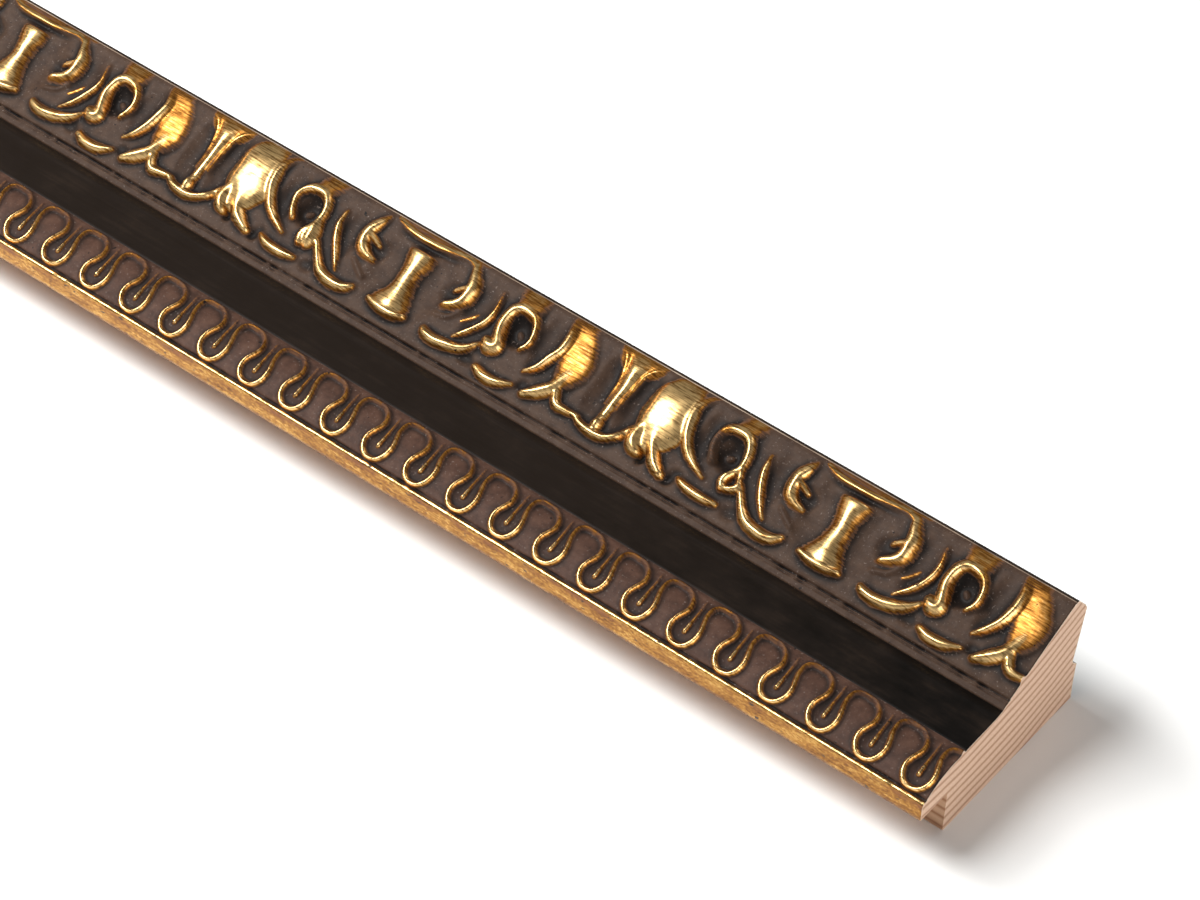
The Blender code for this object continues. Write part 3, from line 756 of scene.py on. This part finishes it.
def rubbedPaint(name, paint, goldShift=0.0, polish=0.0, streakiness=0.42):
    # water gilding under satin umber paint, rubbed back on the high points: taupe ground with pale
    # specks of dust, dirt and painted shade in the hollows, red-brown edge of the rubbing, streaky
    # gold
    material, tree, shader = newMaterial(name, paint[1])
    unrolled = addNode(tree, "Attribute", {"attribute_name": "unrolled"}).outputs["Vector"]
    rub = addNode(tree, "Attribute", {"attribute_name": "rub"}).outputs["Fac"]
    sunk = addNode(tree, "Attribute", {"attribute_name": "cavity"}).outputs["Fac"]
    streaks = cloudy(tree, unrolled, "goldStreaks")
    speckle = cloudy(tree, unrolled, "paintSpeckle")
    worn = addNode(tree, "Math", added, streaks, streakiness, rub)
    worn = addNode(tree, "Math", added, speckle, 0.20, worn)
    worn = addNode(tree, "Math", {"operation": "SUBTRACT"}, worn, 0.10 + streakiness / 2 - goldShift)
    # the paint, darkened in the hollows by dirt and painted shade, with dust
    patches = {"stops": [(0.3, paint[0]), (0.5, paint[1]), (0.72, paint[2])]}
    colour = addNode(tree, "ValToRGB", patches, cloudy(tree, unrolled, "paintPatches"))
    # painted shade and dirt in the hollows, darkest where they are deepest
    grimeAndShade = addNode(tree, "ValToRGB", {"stops": [(0.004, 0.0), (0.024, 0.85), (0.05, 1.0)]}, sunk)
    colour = addNode(tree, "Mix", blended, grimeAndShade, colour, hexColour(colours["dirtAndShade"]))
    specks = cloudy(tree, unrolled, "dust")
    specks = addNode(tree, "ValToRGB", {"stops": [(0.62, 0.0), (0.74, 0.5)]}, specks)
    colour = addNode(tree, "Mix", blended, specks, colour, hexColour(colours["dust"]))
    # the gold, brighter the more it is rubbed, its palest tone on the crests also a painted
    # highlight, with the streaks of the rubbing
    tones = zip((0.40, 0.52, 0.76, 0.98), ("wornEdge", "darkGold", "gold", "brightGoldAndHighlight"))
    gilding = {"stops": [(place, colours[tone]) for place, tone in tones]}
    gilding = addNode(tree, "ValToRGB", gilding, worn)
    shade = {"stops": [(0.34, colours["streakShade"]), (0.54, "#ffffff")]}
    shade = addNode(tree, "ValToRGB", shade, streaks)
    depth = addNode(tree, "ValToRGB", {"stops": [(0.50, 0.62), (0.95, 0.56)]}, worn)
    gilding = addNode(tree, "Mix", tinted, depth, gilding, shade)
    edge = addNode(tree, "ValToRGB", {"stops": [(0.26, 0.0), (0.36, 1.0)]}, worn)
    colour = addNode(tree, "Mix", blended, edge, colour, gilding)
    pits = cloudy(tree, unrolled, "pits")
    pits = addNode(tree, "ValToRGB", {"stops": [(0.28, 1.0), (0.32, 0.0)]}, pits)
    colour = addNode(tree, "Mix", blended, pits, colour, hexColour(colours["dirtAndShade"]))
    metal = addNode(tree, "ValToRGB", {"stops": [(0.42, 0.0), (0.54, 1.0)]}, worn)
    unpitted = addNode(tree, "Math", {"operation": "SUBTRACT"}, 1.0, pits)
    metal = addNode(tree, "Math", scaled, metal, unpitted)
    rough = addNode(tree, "ValToRGB", {"stops": [(0.50, 0.0), (0.85, 1.0)]}, worn)
    rough = addNode(tree, "Math", added, rough, -0.24 - polish, 0.40)
    rough = addNode(tree, "Math", added, streaks, 0.24, rough)
    rough = addNode(tree, "Math", added, speckle, 0.12, rough)
    grain = addNode(tree, "Math", added, streaks, 0.5, cloudy(tree, unrolled, "paintGrain"))
    bump = addNode(tree, "Bump", None, Height=grain, Strength=0.30, Distance=0.12 * mm)
    feed(tree, shader.inputs["Base Color"], colour)
    feed(tree, shader.inputs["Metallic"], metal)
    feed(tree, shader.inputs["Roughness"], rough)
    feed(tree, shader.inputs["Normal"], bump)
    shader.inputs["Specular IOR Level"].default_value = 0.2
    return material


def lipGold(name):
    # leaf gold on the sight edge, burnished by handling: lengthwise streaks, soft patches worn to
    # the red-brown clay under it, fine speckle, a few dark pits, dirt and painted shade in the
    # quirk, and a painted highlight, cream and broken, along the arris
    material, tree, shader = newMaterial(name, colours["gold"])
    unrolled = addNode(tree, "Attribute", {"attribute_name": "unrolled"}).outputs["Vector"]
    sunk = addNode(tree, "Attribute", {"attribute_name": "cavity"}).outputs["Fac"]
    clouds = cloudy(tree, unrolled, "lipClouds")
    speckle = cloudy(tree, unrolled, "lipSpeckle")
    mark = addNode(tree, "Math", added, speckle, 0.45, addNode(tree, "Math", scaled, clouds, 0.55))
    leaf = {"stops": list(zip((0.36, 0.44, 0.51, 0.60), colours["lipLeaf"]))}
    leaf = addNode(tree, "ValToRGB", leaf, mark)
    up = addNode(tree, "SeparateXYZ", None, unrolled).outputs["Y"]
    up = addNode(tree, "Math", {"operation": "DIVIDE"}, up, pitch * mm)  # in pitches up the face
    # clay low on the lip
    clay = {"stops": [(0.24, 0.0), (0.33, 0.8), (0.38, 0.7), (0.40, 0.0)]}
    clay = addNode(tree, "ValToRGB", clay, up)
    patches = addNode(tree, "ValToRGB", {"stops": [(0.40, 1.0), (0.58, 0.15)]}, clouds)
    clay = addNode(tree, "Math", scaled, clay, patches)
    colour = addNode(tree, "Mix", blended, clay, leaf, hexColour(colours["lipClay"]))
    # painted highlight along the arris, cream, broken by the speckle
    arrisHighlight = {"stops": [(0.392, 0.0), (0.405, 1.0), (0.432, 1.0), (0.445, 0.0)]}
    arrisHighlight = addNode(tree, "ValToRGB", arrisHighlight, up)
    broken = addNode(tree, "ValToRGB", {"stops": [(0.36, 0.2), (0.46, 1.0)]}, speckle)
    arrisHighlight = addNode(tree, "Math", scaled, arrisHighlight, broken)
    colour = addNode(tree, "Mix", blended, arrisHighlight, colour, hexColour(colours["lipHighlightCream"]))
    # pits, and dirt and painted shade in the quirk
    pits = cloudy(tree, unrolled, "lipPits")
    pits = addNode(tree, "ValToRGB", {"stops": [(0.32, 1.0), (0.36, 0.0)]}, pits)
    # dirt and painted shade in the quirk, where it lies below its surroundings
    grimeAndShade = addNode(tree, "ValToRGB", {"stops": [(0.004, 0.0), (0.02, 0.9)]}, sunk)
    pits = addNode(tree, "Math", {"operation": "MAXIMUM"}, pits, grimeAndShade)
    colour = addNode(tree, "Mix", blended, pits, colour, hexColour(colours["lipPitAndShade"]))
    feed(tree, shader.inputs["Base Color"], colour)
    feed(tree, shader.inputs["Metallic"], addNode(tree, "Math", added, pits, -0.8, 1.0))
    feed(tree, shader.inputs["Roughness"], addNode(tree, "Math", added, mark, -0.5, 0.56))
    bump = addNode(tree, "Bump", None, Height=mark, Strength=0.5, Distance=0.2 * mm)
    feed(tree, shader.inputs["Normal"], bump)
    return material


def flatPaint(name, paint, roughness, farTone=None):
    # thin brushed paint: faint lengthwise brush marks and slow brown mottling, and if a far colour
    # is given, lighter towards the far end
    material, tree, shader = newMaterial(name, paint[1])
    unrolled = addNode(tree, "Attribute", {"attribute_name": "unrolled"}).outputs["Vector"]
    brush = cloudy(tree, unrolled, "brushMarks")
    mottle = cloudy(tree, unrolled, "mottling")
    mark = addNode(tree, "Math", added, brush, 0.35, addNode(tree, "Math", scaled, mottle, 0.65))
    colour = addNode(tree, "ValToRGB", {"stops": list(zip((0.36, 0.52, 0.68), paint))}, mark)
    if farTone:
        reach = addNode(tree, "SeparateXYZ", None, unrolled).outputs["X"]
        reach = addNode(tree, "Math", {"operation": "DIVIDE"}, reach, -length)
        reach = addNode(tree, "Math", {"operation": "ADD"}, reach, 0.3)
        reach = addNode(tree, "Math", added, mottle, 0.5, reach)
        towardsFar = addNode(tree, "ValToRGB", {"stops": [(0.03, 0.0), (0.32, 0.34)]}, reach)
        colour = addNode(tree, "Mix", blended, towardsFar, colour, hexColour(farTone))
    rough = addNode(tree, "Math", added, mark, 0.25, roughness - 0.12)
    bump = addNode(tree, "Bump", None, Height=brush, Strength=0.25, Distance=0.1 * mm)
    feed(tree, shader.inputs["Base Color"], colour)
    feed(tree, shader.inputs["Roughness"], rough)
    feed(tree, shader.inputs["Normal"], bump)
    shader.inputs["Specular IOR Level"].default_value = 0.12
    return material


def gesso(name):
    # chalk ground under the finish, a pale dusty line at the sawn ends
    material, tree, shader = newMaterial(name, colours["gesso"])
    place = addNode(tree, "TexCoord").outputs["Object"]
    chalk = {"stops": list(zip((0.3, 0.7), colours["chalk"]))}
    chalk = addNode(tree, "ValToRGB", chalk, cloudy(tree, place, "chalk"))
    feed(tree, shader.inputs["Base Color"], chalk)
    shader.inputs["Roughness"].default_value = 0.9
    return material


wood = {
    "heart": (0.0, -11.1, 130.0),  # middle of the tree, above the stick, mm
    "ringWidth": 2.0,  # mm
    "ringStops": (0.0, 0.12, 0.3, 0.72, 0.92, 1.0),  # pale early wood between two late ones
}


def pine(name, tone):
    # sawn pine: flat year rings that rise to the outer side, pale early wood, red-brown late wood;
    # tone tints it as a whole
    material, tree, shader = newMaterial(name, colours["pine"])
    place = addNode(tree, "TexCoord").outputs["Object"]
    heart = [value * mm for value in wood["heart"]]
    offset = addNode(tree, "VectorMath", {"operation": "SUBTRACT"}, place, heart)
    radial = addNode(tree, "VectorMath", {"operation": "MULTIPLY"}, offset, (0, 1, 1))
    radius = addNode(tree, "VectorMath", {"operation": "LENGTH"}, radial)
    turns = addNode(tree, "Math", {"operation": "DIVIDE"}, radius, wood["ringWidth"] * mm)
    turns = addNode(tree, "Math", added, cloudy(tree, place, "ringSway"), 0.8, turns)
    ring = addNode(tree, "Math", {"operation": "FRACT"}, turns)
    rings = {"stops": list(zip(wood["ringStops"], colours["yearRing"]))}
    rings = addNode(tree, "ValToRGB", rings, ring)
    fibre = cloudy(tree, place, "woodFibre")
    fleck = {"stops": list(zip((0.25, 0.5, 0.8), colours["fibre"]))}
    fleck = addNode(tree, "ValToRGB", fleck, fibre)
    colour = addNode(tree, "Mix", tinted, 0.4, rings, fleck)
    colour = addNode(tree, "Mix", tinted, 1.0, colour, hexColour(tone))
    bump = addNode(tree, "Bump", None, Height=fibre, Strength=0.4, Distance=0.2 * mm)
    feed(tree, shader.inputs["Base Color"], colour)
    feed(tree, shader.inputs["Normal"], bump)
    shader.inputs["Roughness"].default_value = 0.78
    shader.inputs["Specular IOR Level"].default_value = 0.25
    return material


finishes = {
    "lipGold": lipGold("worn gold leaf, burnished"),
    "rubbedUmber": rubbedPaint("red umber paint rubbed back to gold leaf",
                               colours["serpentinePaint"], goldShift=0.12, polish=0.06),
    "blackPanel": flatPaint("black brushed panel paint", colours["panelPaint"], 0.42,
                            colours["panelFarTone"]),
    "rubbedTaupe": rubbedPaint("taupe umber paint rubbed back to gold leaf",
                               colours["umberPaint"], streakiness=0.6),
    "umberSide": flatPaint("dark umber side coat, brushed", colours["sidePaint"], 0.55),
    "gesso": gesso("gesso, chalk ground"),
    "sawnPine": pine("pine, sawn across", "#ffffff"),
    "rawPine": pine("pine, planed and left raw", colours["oldWood"]),
    "wornRidge": flatPaint("umber paint worn through to the gesso", colours["ridgeWear"], 0.7),
}
print("finishes mixed")


def pineStick(name):
    # the stick under the carved shells, with the raw rabbet and back
    y, z = onFace(np.array([0.0, shellJoint, faceRun]) * pitch, -shellDepth)
    wall = low.y + section["rabbetWidth"] * mm
    top = section["rabbetDepth"] * mm
    corners = [(wall, low.z), (y[2], low.z), (y[1], z[1]), (y[0], top), (wall, top)]
    bm = bmesh.new()
    end = bm.faces.new([bm.verts.new((low.x, *corner)) for corner in corners])
    drawn = bmesh.ops.extrude_face_region(bm, geom=[end])["geom"]
    moved = [v for v in drawn if isinstance(v, bmesh.types.BMVert)]
    bmesh.ops.translate(bm, vec=(length, 0, 0), verts=moved)
    arris = Vector((wall, low.z))  # the rabbet wall's lower edge is a little worn
    worn = [e for e in bm.edges if all((v.co.yz - arris).length < 1e-6 for v in e.verts)]
    bmesh.ops.bevel(bm, geom=worn, offset=0.3 * mm, segments=2, profile=0.5, affect="EDGES",
                    material=-1)
    bmesh.ops.recalc_face_normals(bm, faces=bm.faces)
    piece, mesh = newPiece(name, bm, ("sawnPine", "rawPine"))
    for polygon in mesh.polygons:
        polygon.material_index = 0 if abs(polygon.normal.x) > 0.5 else 1
    return piece


pieces = [pineStick("pine_stick")]
for shellName, shell in shells.items():
    pieces.append(carvedShell(shellName, shell))
    print("carved", shellName, len(pieces[-1].data.polygons))
for piece in pieces:
    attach(piece, "root")
    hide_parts(nodeName)


# floor, camera and soft light
studio = {
    "floorSize": 12.0,
    "floorPaper": ("#f4f4f2", "#f6f6f4"),
    "lens": 119.6,
    "sensor": 36,
    "nearest": 0.01,
    "cameraPlace": (0.30473, -0.35263, 0.46612),
    "cameraRight": (0.78167982, 0.62295191, 0.030126),
    "cameraUp": (-0.46039949, 0.54377634, 0.70166915),
    "worldTop": "#6c6c6c",
    "worldHorizon": "#c4c4c4",
}
# direction, distance, size, watts, whether it shows in reflections
lights = {
    "key": ((-0.80, -0.10, 0.74), 0.95, 0.44, 7.4, False),
    "glint": ((-0.42, -0.29, 0.85), 0.95, 0.52, 9.0, True),
    "fill": ((0.95, -0.20, 0.25), 1.1, 0.6, 3.3, True),
    "back": ((0.2, 0.9, 0.55), 1.2, 0.5, 1.6, True),
}


def makeFloor():
    # white paper, faintly cloudy
    mesh = bpy.data.meshes.new("floor")
    bm = bmesh.new()
    bmesh.ops.create_grid(bm, x_segments=1, y_segments=1, size=studio["floorSize"] / 2)
    bmesh.ops.translate(bm, vec=(0, 0, low.z), verts=bm.verts)
    bm.to_mesh(mesh)
    bm.free()
    material, tree, shader = newMaterial("white paper floor", studio["floorPaper"][0])
    place = addNode(tree, "TexCoord").outputs["Object"]
    paper = {"stops": list(zip((0.3, 0.7), studio["floorPaper"]))}
    paper = addNode(tree, "ValToRGB", paper, cloudy(tree, place, "paper"))
    feed(tree, shader.inputs["Base Color"], paper)
    shader.inputs["Roughness"].default_value = 0.9
    mesh.materials.append(material)
    floor = bpy.data.objects.new("floor", mesh)
    bpy.context.scene.collection.objects.link(floor)


def makeCamera():
    camera = bpy.data.cameras.new("camera")
    camera.lens = studio["lens"]
    camera.sensor_width = studio["sensor"]
    camera.clip_start = studio["nearest"]
    holder = bpy.data.objects.new("camera", camera)
    right, up = Vector(studio["cameraRight"]), Vector(studio["cameraUp"])
    turn = Matrix((right, up, right.cross(up))).transposed().to_4x4()
    holder.matrix_world = Matrix.Translation(studio["cameraPlace"]) @ turn
    bpy.context.scene.collection.objects.link(holder)
    bpy.context.scene.camera = holder


def makeLight(name):
    direction, distance, size, power, inReflections = lights[name]
    light = bpy.data.lights.new(name, "AREA")
    light.shape = "DISK"
    light.size = size
    light.energy = power
    holder = bpy.data.objects.new(name, light)
    towards = Vector(direction).normalized()
    holder.location = towards * distance
    holder.rotation_euler = towards.to_track_quat("Z", "Y").to_euler()
    holder.visible_glossy = inReflections
    bpy.context.scene.collection.objects.link(holder)


def makeWorld():
    # dim above and paler round the horizon, so that the gold has something dark to show
    world = bpy.data.worlds.new("studio")
    world.use_nodes = True
    tree = world.node_tree
    place = addNode(tree, "TexCoord").outputs["Generated"]
    up = addNode(tree, "SeparateXYZ", None, place).outputs["Z"]
    sky = {"stops": [(0.0, studio["worldHorizon"]), (0.5, studio["worldTop"])]}
    feed(tree, tree.nodes["Background"].inputs["Color"], addNode(tree, "ValToRGB", sky, up))
    bpy.context.scene.world = world


makeFloor()
makeCamera()
for lightName in lights:
    makeLight(lightName)
makeWorld()
bpy.context.scene.view_settings.view_transform = "Standard"
print("studio lit")
